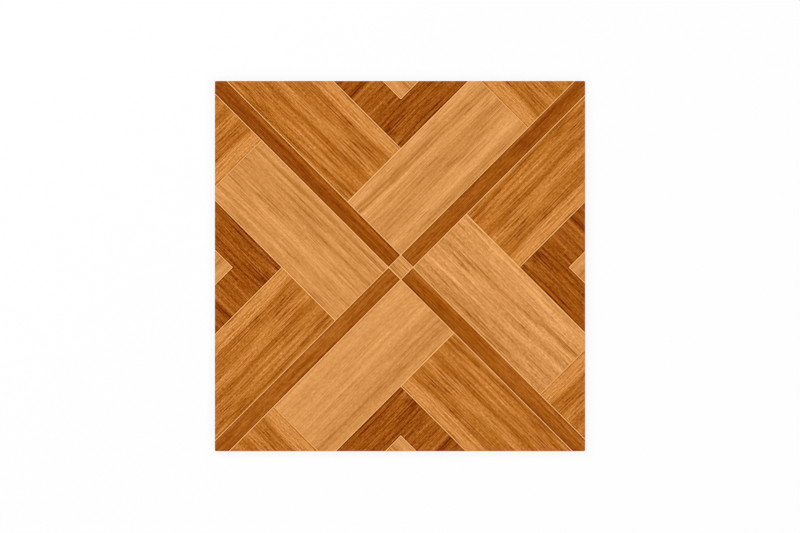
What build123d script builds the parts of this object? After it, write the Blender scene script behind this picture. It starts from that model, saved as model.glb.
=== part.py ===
from build123d import *
from math import cos, radians, tan
import os

# A square glazed floor tile, dry pressed and fired as one piece, in millimetres. It lies on its
# back on the XY plane, with the origin under its centre and the glazed face up.

# The tile across its edges, and from the ribs of its back to its face
side = 450.0
thickness = 8.0

# The edge, from the face down: a rounded arris, an upright land, and below the land a slope
# that leans in towards the back, where the last arris is broken
arris_radius = 1.0
corner_radius = 1.5
land_height = 2.6
edge_draft = 13.0
back_chamfer = 0.6

# The relief pressed into the back, where the adhesive keys: six-sided pockets with drafted
# walls between flat ribs, inside a flat border
border = 15.0
cell_pitch = 30.0
rib_width = 5.0
pocket_depth = 0.8
pocket_draft = 35.0

# The cutters of the pockets start this far below the back, as wide there as their draft makes
cutter_overrun = 0.5

slope_height = thickness - arris_radius - land_height
slope_inset = slope_height * tan(radians(edge_draft))
back_side = side - 2 * slope_inset
field_side = side - 2 * border
cutter_depth = cutter_overrun + pocket_depth
cutter_spread = cutter_overrun * tan(radians(pocket_draft))


def pocket_centres():
    """Centres of the staggered columns of pockets that lie within the field."""
    column_pitch = cell_pitch * cos(radians(30))
    last_column = int(field_side / 2 / column_pitch)
    centres = []
    for column in range(-last_column, last_column + 1):
        stagger = column % 2
        last_row = int(field_side / 2 / cell_pitch - stagger / 2)
        for row in range(-last_row - stagger, last_row + 1):
            centres.append((column * column_pitch, (row + stagger / 2) * cell_pitch))
    return centres


# One pocket, as the solid that cuts it
with BuildPart() as pocket:
    with BuildSketch(Plane.XY.offset(-cutter_overrun)):
        mouth_apothem = (cell_pitch - rib_width) / 2 + cutter_spread
        RegularPolygon(mouth_apothem, 6, major_radius=False)
    extrude(amount=cutter_depth, taper=pocket_draft)

# All the pockets, cut off where the border begins by a wall of the same draft
with BuildPart() as pockets:
    with Locations(*pocket_centres()):
        add(pocket.part)
    with BuildSketch(Plane.XY.offset(-cutter_overrun)):
        field_mouth = field_side + 2 * cutter_spread
        Rectangle(field_mouth, field_mouth)
    extrude(amount=cutter_depth, taper=pocket_draft, mode=Mode.INTERSECT)

with BuildPart() as floor_tile:
    # The slope of the edge, from the back's outline out to the full size
    with BuildSketch(Plane.XY):
        RectangleRounded(back_side, back_side, corner_radius)
    with BuildSketch(Plane.XY.offset(slope_height)):
        RectangleRounded(side, side, corner_radius)
    loft(ruled=True)
    back = floor_tile.faces().sort_by(Axis.Z)[0]
    chamfer(back.edges(), back_chamfer)

    # The upright land, and the face with its rounded arris
    with BuildSketch(Plane.XY.offset(slope_height)):
        RectangleRounded(side, side, corner_radius)
    extrude(amount=land_height + arris_radius)
    face = floor_tile.faces().sort_by(Axis.Z)[-1]
    fillet(face.edges(), arris_radius)

    add(pockets.part, mode=Mode.SUBTRACT)

floor_tile.part.label = "floor_tile"
os.makedirs("parts", exist_ok=True)
export_step(floor_tile.part, "parts/floor_tile.step")
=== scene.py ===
import bmesh
import bpy
from math import acos, cos, pi, radians, sin, sqrt
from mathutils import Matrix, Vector


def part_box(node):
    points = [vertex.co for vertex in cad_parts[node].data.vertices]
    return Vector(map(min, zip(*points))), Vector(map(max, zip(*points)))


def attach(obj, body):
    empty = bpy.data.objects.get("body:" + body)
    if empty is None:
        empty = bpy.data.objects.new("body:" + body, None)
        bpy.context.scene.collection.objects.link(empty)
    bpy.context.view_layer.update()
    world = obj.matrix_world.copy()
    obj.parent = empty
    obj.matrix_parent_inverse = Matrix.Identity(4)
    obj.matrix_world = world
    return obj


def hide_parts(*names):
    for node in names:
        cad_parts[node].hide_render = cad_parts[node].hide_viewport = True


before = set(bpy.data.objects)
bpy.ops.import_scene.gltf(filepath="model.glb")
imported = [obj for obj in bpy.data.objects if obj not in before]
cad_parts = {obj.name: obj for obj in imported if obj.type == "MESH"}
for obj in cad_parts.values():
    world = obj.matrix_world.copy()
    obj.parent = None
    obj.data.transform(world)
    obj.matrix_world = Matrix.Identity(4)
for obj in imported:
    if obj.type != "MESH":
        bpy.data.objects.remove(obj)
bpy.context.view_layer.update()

# The tile, in millimetres: its side and thickness as packed, and how its solid's edges are broken
mm = 0.001
lowest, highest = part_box("floor_tile")
side = (highest.x - lowest.x) / mm
thickness = (highest.z - lowest.z) / mm
arris_radius = 1.0
corner_radius = 1.5
back_arris_top = 0.57

# The middle of the print, measured along the diagonals that fall and rise to the right
print_middle_falling = 1.715
print_middle_rising = -0.40

# The printed basket, in millimetres from that middle: strips cross there and make a small square,
# and each quarter between them holds a pale plank with a short end piece, a medium plank across
# its side, dark planks beyond both and a pale corner
strip_half_width = 10.5
plank_edge = 101.9
corner_start = 144.75
pale_end = 228.8
line_half_width = 0.44

# How far along the medium plank's print the end piece's print begins
end_print_start = 100

# How light each piece is printed before its grain, and the lines between them, from 0 to 255.
# In this table and those like it, a part of a larger piece adds its value to that piece's.
piece_tones = {
    "pale": 158.5,
    "medium_wood": 134.5,
    "dark": 101.0,
    "corner": 155.0,
    "square": 154.0,
    "rising": 104.0,
    "sinking": 109.5,
    "falling": 100.5,
    "climbing": 94.5,
}
line_tone = 220.0
end_line_tone = 192.0

# The shade beside each line: how far from the line's middle it is full and where it ends, in
# millimetres, how much darker it is, and what is added to that on dark wood
shade_full = 0.9
shade_end = 2.1
shade_depth = 12
added_shade_depths = {"dark": 20, "arms": 34}

# The hue of each wood and of the joint lines: how far its red, green and blue lie above or
# below its lightness, in every step of the ink. Medium wood takes its own as it gets darker.
pale_hue = (56, -12, -78)
medium_hue = (61, -14, -88)
dark_hue = (60, -16, -86)
line_hue = (60, -16, -92)
ink_steps = 16
medium_hue_starts = 190
medium_hue_full = 130

# Where each piece's grain is cut from the noise, so that each pale plank and each strip is a
# board of its own
board_cuts = {
    "left": 7.3,
    "bottom": 14.6,
    "top": 21.9,
    "right": 29.2,
    "strips": 31.7,
    "rising": 5.9,
    "sinking": 5.9,
    "dark": 47.1,
    "corner": 53.9,
    "square": 61.3,
}

# How strong the fibres, hairlines, dashes and pores of each piece are
fibre_strengths = {
    "top": 0.72,
    "right": 0.88,
    "bottom": 0.5,
    "left": 0.75,
    "corner": 0.8,
    "medium": 1.2,
    "end": 0.95,
    "dark": 1.1,
    "strips": 1.0,
    "square": 0.8,
}

# How much lightness each kind of mark takes up, and the dots of the print in each piece
fibre_depth = 42
hair_depth = 52
dash_depth = 38
pore_depth = 44
added_dark_hair_depth = 22
dot_depths = {
    "pale": 34,
    "right": 20,
    "corner": 40,
    "strips": 40,
    "medium_wood": 64,
    "dark": 68,
}

# Pores lie where their own noise is this near to zero, and come in between two values of another
# noise, in patches
pore_half_width = 0.036
pores_start = -0.20
pores_full = 0.12
pores_lost_on_strips = 0.6

# How far the grain drifts and wavers across a board, and how softly its streaks begin and end,
# in millimetres
drift_reach = 3.4
waver_reach = 0.7
streak_fade = 14

# What the satin glaze adds on top of its ink by reflecting the studio, in linear light
glaze_veil = 0.0035

# The glaze pales where it thins: its colour there, how far below the face that begins and ends,
# and how much of that colour shows
thin_glaze_colour = (214, 160, 108)
thinning_starts = 0.25
thinning_ends = 0.8 * arris_radius
thinning_share = 0.06

# The unevenness of the glaze, in millimetres: how far apart its waves and its peel lie, and how
# high they are
wave_size = 16
wave_height = 0.020
peel_size = 1.3
peel_height = 0.0018

# The bare clay, its flecks, and what lies on it, as the screen shows them
darker_clay_colour = (160, 96, 66)
paler_clay_colour = (194, 132, 98)
dark_fleck_colour = (112, 62, 44)
pale_fleck_colour = (222, 188, 156)
kiln_wash_colour = (226, 214, 196)
slip_colour = (232, 216, 192)
edge_glaze_colour = (205, 150, 98)

# The clay's clouds, grit and flecks, in millimetres: how large the clouds are along the back and
# up the edge, how far apart grit and flecks lie, and how high they stand
cloud_size = 38
cloud_height = 9
grit_size = 0.5
grit_height = 0.12
fleck_size = 0.75
fleck_height = 0.05

# How rough the glazed face and the bare clay are
face_roughness = 0.26
clay_roughness = 0.86

# How far above the ribs of the back the kiln wash is full, and where it ends, in millimetres
wash_full = 0.02
wash_ends = 0.3

# The foot of the glaze on the edge, and of the slip that shows under it, in millimetres: how far
# each runs down, how much further it does so in places, how soft its edge is and how thick it is
glaze_run = 0.45
glaze_wander = 0.7
glaze_tears = 0.6
glaze_softness = 0.05
glaze_thickness = 0.12
slip_width = 0.32
slip_tears = 0.3
slip_softness = 0.08
slip_thickness = 0.04


def streak(across, reach, tone, lean=0.0, begins=None, ends=None):
    """A streak of the grain: where it lies across the plank and how far it reaches to each side,
    in millimetres, how much lighter or darker it is, how far it drifts across per millimetre
    along, and the places along the plank where it begins and ends."""
    return {
        "across": across,
        "reach": reach,
        "tone": tone,
        "lean": lean,
        "begins": begins,
        "ends": ends,
    }


# The streaks that stand out, listed piece by piece
piece_streaks = {
    "top": [
        streak(16, 5, -8),
        streak(27, 8, 13),
        streak(37, 8, 7, begins=70),
        streak(44, 4, -8, begins=90),
        streak(50, 4, -10),
        streak(57, 8, -14),
        streak(65, 10, 9),
        streak(68, 3, -9, lean=-0.03),
        streak(78, 4, 12, lean=-0.02),
        streak(83, 3, -18, lean=-0.03),
        streak(88, 3, -21, lean=-0.03),
        streak(98, 7, 13),
    ],
    "right": [
        streak(17, 6, -14),
        streak(30, 6, 10, lean=0.08),
        streak(45, 8, 6, lean=0.1),
        streak(53, 4, -7, begins=100, ends=180),
        streak(58, 5, -16, lean=0.08),
        streak(70, 6, 6, begins=100),
        streak(88, 14, 9),
        streak(98, 8, 9),
    ],
    "bottom": [
        streak(17, 6, 12),
        streak(25, 5, 6),
        streak(38, 4, 7),
        streak(46, 4, 9),
        streak(55, 6, 10),
        streak(67, 6, -9, ends=90),
        streak(67, 5, 7, begins=150),
        streak(78, 4, -8),
        streak(85, 3, -20, begins=110),
        streak(90, 6, -14),
    ],
    "left": [
        streak(16, 4, -20, lean=0.02),
        streak(24, 4, 8, begins=90),
        streak(29, 5, -12),
        streak(36, 6, -10, begins=110),
        streak(43, 4, -12),
        streak(53, 10, -10, begins=150),
        streak(62, 4, -9, begins=110),
        streak(85, 4, -11, begins=90),
        streak(91, 4, 10),
    ],
    "medium_wood": [
        streak(25, 4, -19, lean=-0.05),
        streak(33, 3, -13, lean=-0.05),
        streak(37, 3, -8, lean=-0.03),
        streak(48, 4, -22, lean=-0.02),
        streak(53, 4, -8, lean=-0.03),
        streak(57, 10, 12),
        streak(68, 4, -17, lean=-0.015),
        streak(76, 5, -13, lean=-0.02),
        streak(81.5, 5, -25, lean=-0.01),
        streak(86, 3, 10, begins=130),
        streak(94, 18, 18),
        streak(16, 4, -8, begins=180),
    ],
    "dark": [
        streak(105, 7, -6),
        streak(112, 6, 16, lean=0.02),
        streak(117, 4, -9, lean=0.03),
        streak(124.5, 6, 9),
        streak(124, 3, -14, begins=140),
        streak(132, 3, -8, begins=140),
        streak(138, 4, -14),
        streak(147, 3, 9),
        streak(157, 4, 15),
        streak(167, 3, 11),
        streak(170, 3, -9),
        streak(176, 6, 16),
        streak(184, 4, 36),
        streak(190, 5, -20),
        streak(210, 5, -8),
    ],
    "corner": [
        streak(153, 3, 9),
        streak(160, 8, -10),
    ],
    "rising": [
        streak(-7.5, 2, 9, ends=150),
        streak(-6, 4, -10),
        streak(7, 4, 10),
        streak(0, 8, 9, ends=90),
        streak(2, 12, -14, begins=200),
    ],
    "falling": [
        streak(-7, 5, -9),
        streak(7, 6, 12),
        streak(7, 5, 12, ends=100),
        streak(2, 12, 12, begins=160),
    ],
    "sinking": [
        streak(-7.5, 3, 9, begins=-160),
        streak(-1, 9, 8, begins=-150, ends=-90),
        streak(5, 4, 12, begins=-230, ends=-160),
        streak(7.5, 3, 8, ends=-220),
        streak(8, 3, -9, begins=-160),
    ],
    "climbing": [
        streak(-1.5, 9, -9),
        streak(6, 4, 15),
        streak(-6.5, 3, 7, ends=-150),
    ],
}


def linear(channel):
    """One channel of a screen colour, from 0 to 1, in linear light."""
    if channel <= 0.04045:
        return channel / 12.92
    return ((channel + 0.055) / 1.055) ** 2.4


def screen_colour(red, green, blue):
    """A colour given in the screen's 0 to 255, as Blender takes it."""
    return (linear(red / 255), linear(green / 255), linear(blue / 255), 1.0)


def ink_colour(red, green, blue):
    """A screen colour less what the glaze over it reflects."""
    colour = screen_colour(red, green, blue)
    return tuple(max(channel - glaze_veil, 0.0) for channel in colour[:3]) + (1.0,)


class Ink:
    """A value that changes over a surface, with the operators its maths is written in."""

    def __init__(self, finish, socket):
        self.finish = finish
        self.socket = socket

    def maths(self, operation, *values):
        """What a Math node makes of values or links."""
        inputs = dict(enumerate(values))
        return self.finish.node("ShaderNodeMath", {"operation": operation}, inputs)["Value"]

    def __add__(self, other):
        return self.maths("ADD", self, other)

    def __radd__(self, other):
        return self.maths("ADD", other, self)

    def __sub__(self, other):
        return self.maths("SUBTRACT", self, other)

    def __rsub__(self, other):
        return self.maths("SUBTRACT", other, self)

    def __mul__(self, other):
        return self.maths("MULTIPLY", self, other)

    def __rmul__(self, other):
        return self.maths("MULTIPLY", other, self)

    def __truediv__(self, other):
        return self.maths("DIVIDE", self, other)

    def __gt__(self, other):
        return self.maths("GREATER_THAN", self, other)

    def __lt__(self, other):
        return self.maths("LESS_THAN", self, other)

    def __abs__(self):
        return self.maths("ABSOLUTE", self)


def lower(first, second):
    """The lower of two values."""
    return first.maths("MINIMUM", first, second)


def higher(first, second):
    """The higher of two values."""
    return first.maths("MAXIMUM", first, second)


class Finish:
    """The nodes of one material, or of the world."""

    def __init__(self, owner):
        owner.use_nodes = True
        self.tree = owner.node_tree
        self.tree.nodes.clear()

    def node(self, kind, settings, inputs):
        """Adds a node, sets it, fills its sockets with values or links, and returns its outputs."""
        made = self.tree.nodes.new(kind)
        for name, value in settings.items():
            if name == "stops":
                set_stops(made.color_ramp, value)
            else:
                setattr(made, name, value)
        sockets = [socket for socket in made.inputs if socket.enabled]
        for key, value in inputs.items():
            socket = sockets[key] if isinstance(key, int) else find_socket(sockets, key)
            if isinstance(value, Ink):
                self.tree.links.new(value.socket, socket)
            else:
                socket.default_value = value
        return {socket.name: Ink(self, socket) for socket in made.outputs if socket.enabled}

    def place(self):
        """Where a point of the surface is, in millimetres from the middle of the tile's back."""
        spot = self.node("ShaderNodeTexCoord", {}, {})["Object"]
        parts = self.node("ShaderNodeSeparateXYZ", {}, {"Vector": spot})
        return [parts[axis] / mm for axis in "XYZ"]

    def noise(self, x, y, z, detail=0.0, roughness=0.5):
        """Noise around zero, about one unit of x, y and z from one lump to the next."""
        spot = self.node("ShaderNodeCombineXYZ", {}, {"X": x, "Y": y, "Z": z})["Vector"]
        settings = {"noise_dimensions": "3D", "normalize": True}
        inputs = {"Vector": spot, "Scale": 1.0, "Detail": detail, "Roughness": roughness}
        return self.node("ShaderNodeTexNoise", settings, inputs)["Fac"] - 0.5

    def lumps(self, along, across, cut, length, width, detail=0.0, roughness=0.5):
        """Noise around zero on one flat cut, in lumps about length by width millimetres."""
        return self.noise(along / length, across / width, cut, detail, roughness)

    def blend(self, first, second, mask):
        """The first value where the mask is 0, and the second where it is 1."""
        inputs = {"Factor": mask, "A": first, "B": second}
        return self.node("ShaderNodeMix", {"data_type": "FLOAT"}, inputs)["Result"]

    def blend_colours(self, first, second, mask):
        """The first colour where the mask is 0, and the second where it is 1."""
        inputs = {"Factor": mask, "A": first, "B": second}
        return self.node("ShaderNodeMix", {"data_type": "RGBA"}, inputs)["Result"]

    def fade(self, value, zero_at, one_at, size=1.0):
        """Eases from 0 where the value is zero_at to size where it is one_at."""
        settings = {"interpolation_type": "SMOOTHSTEP"}
        inputs = {
            "Value": value,
            "From Min": zero_at,
            "From Max": one_at,
            "To Min": 0.0,
            "To Max": size,
        }
        return self.node("ShaderNodeMapRange", settings, inputs)["Result"]

    def bump(self, height, strength):
        """The normal that a height in millimetres gives."""
        inputs = {"Strength": strength, "Distance": mm, "Height": height}
        return self.node("ShaderNodeBump", {}, inputs)["Normal"]

    def surface(self, shader):
        """Makes a shader the material's surface."""
        self.node("ShaderNodeOutputMaterial", {}, {"Surface": shader})

    def fired_surface(self, colour, roughness, normal, ior):
        """Makes the surface one of glaze or clay."""
        inputs = {"Base Color": colour, "Roughness": roughness, "Normal": normal, "IOR": ior}
        self.surface(self.node("ShaderNodeBsdfPrincipled", {}, inputs)["BSDF"])


def set_stops(ramp, stops):
    """Gives a colour ramp its stops, from 0 to 1."""
    while len(ramp.elements) < len(stops):
        ramp.elements.new(1.0)
    for element, (position, colour) in zip(ramp.elements, stops):
        element.position = position
        element.color = colour


def find_socket(sockets, name):
    """The first socket of that name."""
    return next(socket for socket in sockets if socket.name == name)


def by_piece(values, pieces):
    """Each piece's own value, where its mask is 1."""
    return sum(value * pieces[name] for name, value in values.items())


def place_in_quarter(finish, falling, rising):
    """How far a point lies along and across the pale plank of its quarter. The basket turns round
    its middle, so the two diagonals swap from one quarter to the next."""
    turned = (falling * rising) > 0
    run = finish.blend(abs(rising), abs(falling), turned)
    breadth = finish.blend(abs(falling), abs(rising), turned)
    return run, breadth


def basket_pieces(falling, rising, run, breadth):
    """Which piece of the basket a point is in, as masks. The strips are the square in the middle
    and four arms, named by the way they run from it: two rise and fall to the right, and two
    climb and sink to the left."""
    to_right = falling > 0
    to_top = rising > 0
    upright = abs(rising) > strip_half_width
    nearer = lower(run, breadth)
    strips = nearer < strip_half_width
    square = higher(run, breadth) < strip_half_width
    arms = strips - square
    planks = 1 - strips
    beside = breadth > plank_edge
    beyond = run > plank_edge
    corner = nearer > corner_start
    end = (run > pale_end) * (1 - beside) * planks
    pale = planks * (1 - beside) - end
    medium = planks * beside * (1 - beyond)
    return {
        "pale": pale,
        "top": (1 - to_right) * to_top * pale,
        "right": to_right * to_top * pale,
        "bottom": to_right * (1 - to_top) * pale,
        "left": (1 - to_right) * (1 - to_top) * pale,
        "medium": medium,
        "end": end,
        "medium_wood": medium + end,
        "dark": beside * beyond - corner,
        "corner": corner,
        "square": square,
        "strips": strips,
        "arms": arms,
        "rising": arms * upright * to_top,
        "sinking": arms * upright * (1 - to_top),
        "falling": arms * (1 - upright) * to_right,
        "climbing": arms * (1 - upright) * (1 - to_right),
    }


def place_in_piece(finish, falling, rising, run, breadth, pieces):
    """How far a point lies along and across the grain of its piece. The end piece's print is the
    medium plank's in a mirror."""
    crosswise = pieces["medium_wood"] + pieces["corner"]
    mirrored = finish.blend(run, plank_edge + pale_end - run, pieces["end"])
    plank_along = finish.blend(run, breadth + end_print_start * pieces["end"], crosswise)
    plank_across = finish.blend(breadth, mirrored, crosswise)
    upright = pieces["rising"] + pieces["sinking"]
    strip_along = finish.blend(falling, rising, upright)
    strip_across = finish.blend(rising, falling, upright)
    along = finish.blend(plank_along, strip_along, pieces["strips"])
    across = finish.blend(plank_across, strip_across, pieces["strips"])
    return along, across


def drawn_streak(finish, along, across, drawn):
    """The lightening or darkening that one streak gives."""
    centre = along * drawn["lean"] + drawn["across"] if drawn["lean"] else drawn["across"]
    tone = finish.fade(abs(across - centre), drawn["reach"], 0.0, drawn["tone"])
    if drawn["begins"] is not None:
        start = drawn["begins"]
        tone = tone * finish.fade(along, start - streak_fade, start + streak_fade)
    if drawn["ends"] is not None:
        stop = drawn["ends"]
        tone = tone * finish.fade(along, stop + streak_fade, stop - streak_fade)
    return tone


def wood_grain(finish, along, across, pieces):
    """How much lighter or darker the grain is: long fibres, hairlines, dashes and pores that
    drift and waver, the dots of the print, and the drawn streaks. Each noise has a cut or a size
    of its own, so that no two of them line up."""
    board = by_piece(board_cuts, pieces)
    drift = finish.lumps(along, across, board, length=110, width=45)
    bent = across + drift * drift_reach
    waver = finish.lumps(along, across, board + 2.7, length=60, width=9)
    wavy = bent + waver * waver_reach
    fibres = finish.lumps(along, wavy, board, length=420, width=10, detail=2.0, roughness=0.95)
    hairs = finish.lumps(along, wavy, board + 3.1, length=110, width=1.1)
    dashes = finish.lumps(along, wavy, board + 1.3, length=20, width=1.2)
    dots = finish.lumps(along, across, board, length=3.5, width=1.1)
    pores = finish.lumps(along, wavy, board + 6.1, length=130, width=2.8, detail=1.0, roughness=0.6)
    porous = finish.lumps(along, across, board + 8.9, length=55, width=17)
    pore_lines = finish.fade(abs(pores), pore_half_width, 0.0)
    pore_lines = pore_lines * finish.fade(porous, pores_start, pores_full, pore_depth)
    pore_lines = pore_lines * (1 - pores_lost_on_strips * pieces["strips"])
    fibrous = fibres * fibre_depth + hairs * hair_depth + dashes * dash_depth - pore_lines
    grain = fibrous * by_piece(fibre_strengths, pieces)
    grain = grain + hairs * added_dark_hair_depth * pieces["dark"]
    grain = grain + dots * by_piece(dot_depths, pieces)
    for name, streaks in piece_streaks.items():
        drawn = sum(drawn_streak(finish, along, bent, each) for each in streaks)
        grain = grain + drawn * pieces[name]
    return grain


def line_distances(run, breadth):
    """How far a point lies from the joint lines of the strips and planks, from those of the
    corner piece, and from the end piece's."""
    to_strips = lower(abs(run - strip_half_width), abs(breadth - strip_half_width))
    to_pale_side = higher(abs(breadth - plank_edge), strip_half_width - run)
    to_medium_side = higher(abs(run - plank_edge), plank_edge - breadth)
    to_planks = lower(to_strips, lower(to_pale_side, to_medium_side))
    to_corner = abs(lower(run, breadth) - corner_start)
    along_end = higher(breadth - plank_edge, strip_half_width - breadth)
    to_end = higher(abs(run - pale_end), along_end)
    return to_planks, to_corner, to_end


def line_mask(finish, distance):
    """1 on a joint line and 0 beside it, with soft sides."""
    return finish.fade(distance, 1.5 * line_half_width, 0.5 * line_half_width)


def printed_tone(finish, x, y):
    """How light the print is, from 0 to 255: planks, grain and joint lines. With it come the
    hues that differ from the pale wood's, each with its place."""
    falling = (x - y) / sqrt(2) - print_middle_falling
    rising = (x + y) / sqrt(2) - print_middle_rising
    run, breadth = place_in_quarter(finish, falling, rising)
    pieces = basket_pieces(falling, rising, run, breadth)
    along, across = place_in_piece(finish, falling, rising, run, breadth, pieces)
    wood = by_piece(piece_tones, pieces) + wood_grain(finish, along, across, pieces)

    # The pale joint lines, each with a shade along its sides
    to_planks, to_corner, to_end = line_distances(run, breadth)
    beside_lines = finish.fade(lower(to_planks, lower(to_corner, to_end)), shade_end, shade_full)
    shaded = wood - beside_lines * (shade_depth + by_piece(added_shade_depths, pieces))
    tone = finish.blend(shaded, line_tone, line_mask(finish, to_planks))
    tone = finish.blend(tone, end_line_tone, line_mask(finish, to_end))
    tone = finish.blend(tone, line_tone, line_mask(finish, to_corner))

    darker = finish.fade(tone, medium_hue_starts, medium_hue_full)
    hues = [
        (medium_hue, pieces["medium_wood"] * darker),
        (dark_hue, pieces["dark"] + pieces["arms"]),
        (line_hue, line_mask(finish, lower(to_planks, to_corner))),
    ]
    return tone, hues


def inked(finish, tone, hue):
    """The colour of one wood's print, for how light it is printed."""
    stops = []
    for step in range(ink_steps):
        lightness = 255 * step / (ink_steps - 1)
        channels = [min(max(lightness + shift, 0), 255) for shift in hue]
        stops.append((lightness / 255, ink_colour(*channels)))
    return finish.node("ShaderNodeValToRGB", {"stops": stops}, {"Fac": tone / 255})["Color"]


def printed_glaze():
    """The glazed face: the plank print under a satin glaze, paler where it thins at the arris."""
    material = bpy.data.materials.new("printed_glaze")
    finish = Finish(material)
    x, y, z = finish.place()
    tone, hues = printed_tone(finish, x, y)
    colour = inked(finish, tone, pale_hue)
    for hue, place in hues:
        colour = finish.blend_colours(colour, inked(finish, tone, hue), place)
    thin = finish.fade(z, thickness - thinning_starts, thickness - thinning_ends, thinning_share)
    colour = finish.blend_colours(colour, ink_colour(*thin_glaze_colour), thin)

    # The glaze is slightly uneven: long soft waves, a fine peel, and clouds of more or less gloss
    waves = finish.lumps(x, y, cut=0.0, length=wave_size, width=wave_size, detail=1.0)
    peel = finish.lumps(x, y, cut=4.0, length=peel_size, width=peel_size, detail=1.0)
    normal = finish.bump(waves * wave_height + peel * peel_height, strength=0.6)
    cloud = finish.lumps(x, y, cut=9.0, length=60, width=60, detail=2.0)
    roughness = face_roughness + cloud * 0.08 + peel * 0.04
    finish.fired_surface(colour, roughness, normal, ior=1.45)
    return material


def fired_clay():
    """The unglazed edges and back: red-firing clay, with glaze and a line of slip at the top of
    the edge, and pale kiln wash where the ribs touched the rollers."""
    material = bpy.data.materials.new("fired_clay")
    finish = Finish(material)
    x, y, z = finish.place()

    # The clay: clouds of two shades, grit, and dark and pale flecks
    grit = finish.noise(x / grit_size, y / grit_size, z / grit_size, detail=3.0, roughness=0.7)
    cloud = finish.noise(x / cloud_size, y / cloud_size, z / cloud_height, detail=3.0, roughness=0.55)
    darker_clay = screen_colour(*darker_clay_colour)
    paler_clay = screen_colour(*paler_clay_colour)
    colour = finish.blend_colours(darker_clay, paler_clay, cloud * 1.1 + grit * 0.8 + 0.5)
    flecks = finish.noise(x / fleck_size, y / fleck_size, z / fleck_size + 20, detail=1.0)
    dark_flecks = finish.fade(flecks, zero_at=0.17, one_at=0.25, size=0.6)
    pale_flecks = finish.fade(flecks, zero_at=-0.19, one_at=-0.27, size=0.5)
    colour = finish.blend_colours(colour, screen_colour(*dark_fleck_colour), dark_flecks)
    colour = finish.blend_colours(colour, screen_colour(*pale_fleck_colour), pale_flecks)

    # Kiln wash rubs off on the ribs and the border, in patches
    patches = finish.lumps(x, y, cut=3.0, length=24, width=24, detail=4.0, roughness=0.7)
    rubbed = finish.fade(patches + grit * 0.5, zero_at=-0.10, one_at=0.16, size=0.62)
    wash = finish.fade(z, wash_ends, wash_full) * rubbed
    colour = finish.blend_colours(colour, screen_colour(*kiln_wash_colour), wash)

    # The slip and the glaze run a little down the upright land
    wander = finish.lumps(x, y, cut=8.0, length=7, width=7, detail=3.0, roughness=0.6)
    tears = finish.lumps(x, y, cut=15.0, length=22, width=22, detail=1.0)
    mean_foot = thickness - arris_radius - glaze_run
    glaze_foot = mean_foot + wander * glaze_wander + tears * glaze_tears
    slip_foot = glaze_foot - slip_width - tears * slip_tears
    on_slip = finish.fade(z, slip_foot - slip_softness, slip_foot + slip_softness)
    on_glaze = finish.fade(z, glaze_foot - glaze_softness, glaze_foot + glaze_softness)
    colour = finish.blend_colours(colour, screen_colour(*slip_colour), on_slip)
    colour = finish.blend_colours(colour, screen_colour(*edge_glaze_colour), on_glaze)

    height = grit * grit_height * (1 - on_glaze) + flecks * fleck_height * (1 - on_slip)
    height = height + on_glaze * glaze_thickness + on_slip * slip_thickness
    normal = finish.bump(height, strength=0.8)
    roughness = clay_roughness - on_glaze * 0.52 + grit * 0.12 - wash * 0.06
    finish.fired_surface(colour, roughness, normal, ior=1.5)
    return material


# The bake map, as shares of its side: the face over most of it, the four edges as strips above,
# and the back beside it in quarters
map_gap = 0.006
face_share = 0.794
quarter_share = 0.182
strip_height = 0.036
strip_gap = 1.4 * map_gap
past_face = face_share + 3 * map_gap

# How the tile's mesh is cleaned and parted: points this near are one, in millimetres, faces that
# look down more than this belong to the back, and edges that turn more than this stay sharp
weld_distance = 0.002
back_looks_down = -0.4
crease_angle = radians(11)


def face_place(spot):
    """Map place of a point of the face, with the arris rolled out round it."""
    flat = side / 2 - corner_radius
    kept = Vector((min(max(spot.x, -flat), flat), min(max(spot.y, -flat), flat)))
    outward = Vector((spot.x, spot.y)) - kept
    height = min(max((spot.z - thickness) / arris_radius + 1, 0.0), 1.0)
    turn = acos(height)
    rolled = outward.normalized() * (turn - sin(turn)) * arris_radius
    span = side + 2 * arris_radius
    u = (spot.x + rolled.x + span / 2) / span
    v = (spot.y + rolled.y + span / 2) / span
    return (map_gap + u * face_share, map_gap + v * face_share)


def edge_place(spot, normal):
    """Map place of a point of an edge, in the strip of its side."""
    faces_sideways = abs(normal.x) > abs(normal.y)
    if faces_sideways:
        strip = 0 if normal.x > 0 else 1
        along = spot.y
    else:
        strip = 2 if normal.y > 0 else 3
        along = spot.x
    top = thickness - arris_radius
    depth = (top - spot.z) / (top - back_arris_top)
    u = map_gap + (along + side / 2) / side * (1 - 2 * map_gap)
    base = past_face + strip * (strip_height + strip_gap)
    return (u, base + (1 - depth) * strip_height)


def back_place(spot, middle):
    """Map place of a point of the back, in its quarter."""
    column = 1 if middle.x > 0 else 0
    row = 1 if middle.y > 0 else 0
    u = abs(spot.x) / (side / 2)
    v = abs(spot.y) / (side / 2)
    base = map_gap + (2 * column + row) * (quarter_share + 2 * map_gap)
    return (past_face + u * quarter_share, base + v * quarter_share)


def cleaned_shape(mesh, source):
    """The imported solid's own faces, as a bmesh to work on: its doubled points are welded, and its
    faces are cut along the two axes, where the back's quarters part on the bake map."""
    corners = [vertex.co.copy() for vertex in source.vertices]
    mesh.from_pydata(corners, [], [tuple(face.vertices) for face in source.polygons])
    work = bmesh.new()
    work.from_mesh(mesh)
    near = weld_distance * mm
    bmesh.ops.remove_doubles(work, verts=work.verts, dist=near)
    for normal in ((1, 0, 0), (0, 1, 0)):
        geometry = work.verts[:] + work.edges[:] + work.faces[:]
        bmesh.ops.bisect_plane(work, geom=geometry, dist=near, plane_co=(0, 0, 0), plane_no=normal)
    work.normal_update()
    return work


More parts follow.
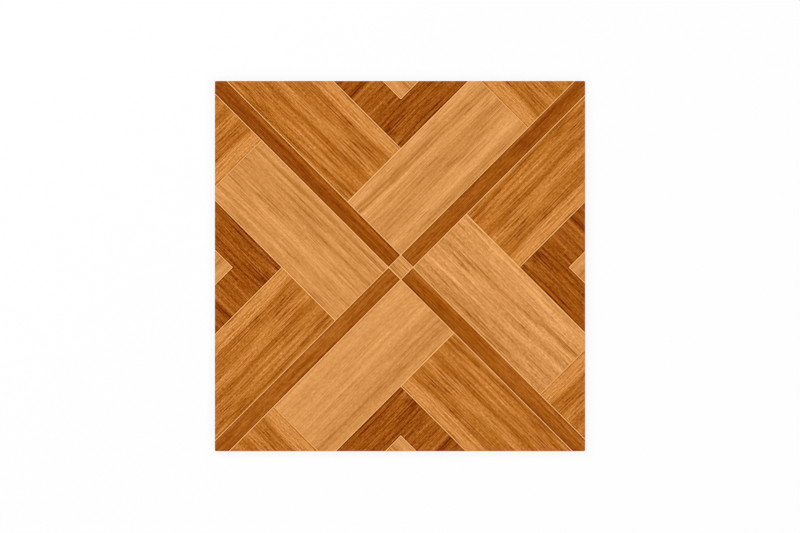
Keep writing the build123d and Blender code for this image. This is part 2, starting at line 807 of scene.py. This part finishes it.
def map_faces(work):
    """Gives each face of the tile its finish and its place on the bake map."""
    bake_map = work.loops.layers.uv.new("OFBake")
    for face in work.faces:
        face.smooth = True
        middle = face.calc_center_median() / mm
        on_face = middle.z > thickness - arris_radius
        face.material_index = 0 if on_face else 1
        for loop in face.loops:
            spot = loop.vert.co / mm
            if on_face:
                loop[bake_map].uv = face_place(spot)
            elif face.normal.z < back_looks_down:
                loop[bake_map].uv = back_place(spot, middle)
            else:
                loop[bake_map].uv = edge_place(spot, face.normal)


def glazed_tile(cad_tile):
    """The tile as it shows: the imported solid's own shape, with clean shading, two finishes and
    a bake map."""
    mesh = bpy.data.meshes.new("floor_tile_glazed")
    work = cleaned_shape(mesh, cad_tile.data)
    map_faces(work)
    for edge in work.edges:
        edge.smooth = edge.calc_face_angle(0.0) < crease_angle
    work.to_mesh(mesh)
    work.free()
    mesh.materials.append(printed_glaze())
    mesh.materials.append(fired_clay())
    tile = bpy.data.objects.new("floor_tile_glazed", mesh)
    bpy.context.scene.collection.objects.link(tile)
    shading = tile.modifiers.new("flat_faces_stay_flat", "WEIGHTED_NORMAL")
    shading.keep_sharp = True
    shading.weight = 100
    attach(tile, "root")
    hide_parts("floor_tile")


# The backdrop's paint, and how much of what is seen of it is plain white and not lit paint
white = (1.0, 1.0, 1.0, 1.0)
backdrop_paint = (0.92, 0.92, 0.92, 1.0)
white_share = 0.85

# The level floor, in rings, and the wall that it sweeps up into, in metres
inner_ring_radii = (0.6, 2.0)
flat_radius = 7.0
sweep_radius = 2.0
sweep_steps = 8
floor_segments = 96

# The softboxes, in metres and watts, one of them brighter, and the strength of the even fill
softbox_reach = 1.85
softbox_height = 2.0
softbox_side = 1.7
softbox_watts = 43.5
brighter_watts = 62
fill_strength = 0.03


def backdrop_white():
    """The studio's white: it shows as white, takes a soft shadow, and lights nothing itself."""
    material = bpy.data.materials.new("backdrop_white")
    finish = Finish(material)
    rays = finish.node("ShaderNodeLightPath", {}, {})
    seen = rays["Is Camera Ray"] + rays["Is Glossy Ray"] + rays["Is Transmission Ray"]
    matt = finish.node("ShaderNodeBsdfDiffuse", {}, {"Color": backdrop_paint})["BSDF"]
    glow = finish.node("ShaderNodeEmission", {}, {"Color": white, "Strength": 1.0})["Emission"]
    inputs = {0: lower(seen, 1.0) * white_share, 1: matt, 2: glow}
    finish.surface(finish.node("ShaderNodeMixShader", {}, inputs)["Shader"])
    return material


def studio_floor():
    """A level floor that sweeps up into a low wall all round."""
    profile = [(radius, 0.0) for radius in inner_ring_radii + (flat_radius,)]
    for step in range(1, sweep_steps + 1):
        turn = pi / 2 * step / sweep_steps
        profile.append((flat_radius + sweep_radius * sin(turn), sweep_radius * (1 - cos(turn))))
    points = [(0.0, 0.0, 0.0)]
    faces = []
    for ring, (radius, height) in enumerate(profile):
        first = 1 + ring * floor_segments
        below = first - floor_segments
        for segment in range(floor_segments):
            turn = 2 * pi * segment / floor_segments
            points.append((radius * cos(turn), radius * sin(turn), height))
            following = (segment + 1) % floor_segments
            outer = (first + segment, first + following)
            if ring == 0:
                faces.append((0,) + outer)
            else:
                faces.append((below + segment,) + outer + (below + following,))
    mesh = bpy.data.meshes.new("studio_floor")
    mesh.from_pydata(points, [], faces)
    mesh.shade_smooth()
    mesh.materials.append(backdrop_white())
    floor = bpy.data.objects.new("studio_floor", mesh)
    bpy.context.scene.collection.objects.link(floor)


def softbox(name, to_right, to_back, watts):
    """A large square softbox off one corner of the tile, which it faces."""
    light = bpy.data.lights.new(name, "AREA")
    light.shape = "SQUARE"
    light.size = softbox_side
    light.energy = watts
    lamp = bpy.data.objects.new(name, light)
    place = Vector((to_right * softbox_reach, to_back * softbox_reach, softbox_height))
    lamp.location = place
    lamp.rotation_euler = (-place).to_track_quat("-Z", "Y").to_euler()
    bpy.context.scene.collection.objects.link(lamp)


def studio_light():
    """Four softboxes well off to the sides, so that the glaze seen from above reflects none of
    them, over a low even fill."""
    softbox("softbox_back_left", -1, 1, brighter_watts)
    softbox("softbox_back_right", 1, 1, softbox_watts)
    softbox("softbox_front_left", -1, -1, softbox_watts)
    softbox("softbox_front_right", 1, -1, softbox_watts)
    world = bpy.data.worlds.new("studio_fill")
    bpy.context.scene.world = world
    finish = Finish(world)
    inputs = {"Color": white, "Strength": fill_strength}
    fill = finish.node("ShaderNodeBackground", {}, inputs)["Background"]
    finish.node("ShaderNodeOutputWorld", {}, {"Surface": fill})


def camera_above():
    """A camera that looks straight down, so far up that the tile spans about 370 of the picture's
    800 pixels, with its middle a little above the picture's."""
    picture_width = 800
    tile_pixels = 370.4
    tile_above_middle = 0.4
    metres_per_pixel = side * mm / tile_pixels
    data = bpy.data.cameras.new("camera_above")
    data.lens = 85
    data.sensor_width = 36
    camera = bpy.data.objects.new("camera_above", data)
    distance = metres_per_pixel * picture_width * data.lens / data.sensor_width
    camera.location = (0.0, -tile_above_middle * metres_per_pixel, highest.z + distance)
    camera.rotation_euler = (0.0, 0.0, 0.0)
    bpy.context.scene.collection.objects.link(camera)
    bpy.context.scene.camera = camera


glazed_tile(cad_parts["floor_tile"])
studio_floor()
studio_light()
camera_above()
bpy.context.scene.view_settings.view_transform = "Standard"
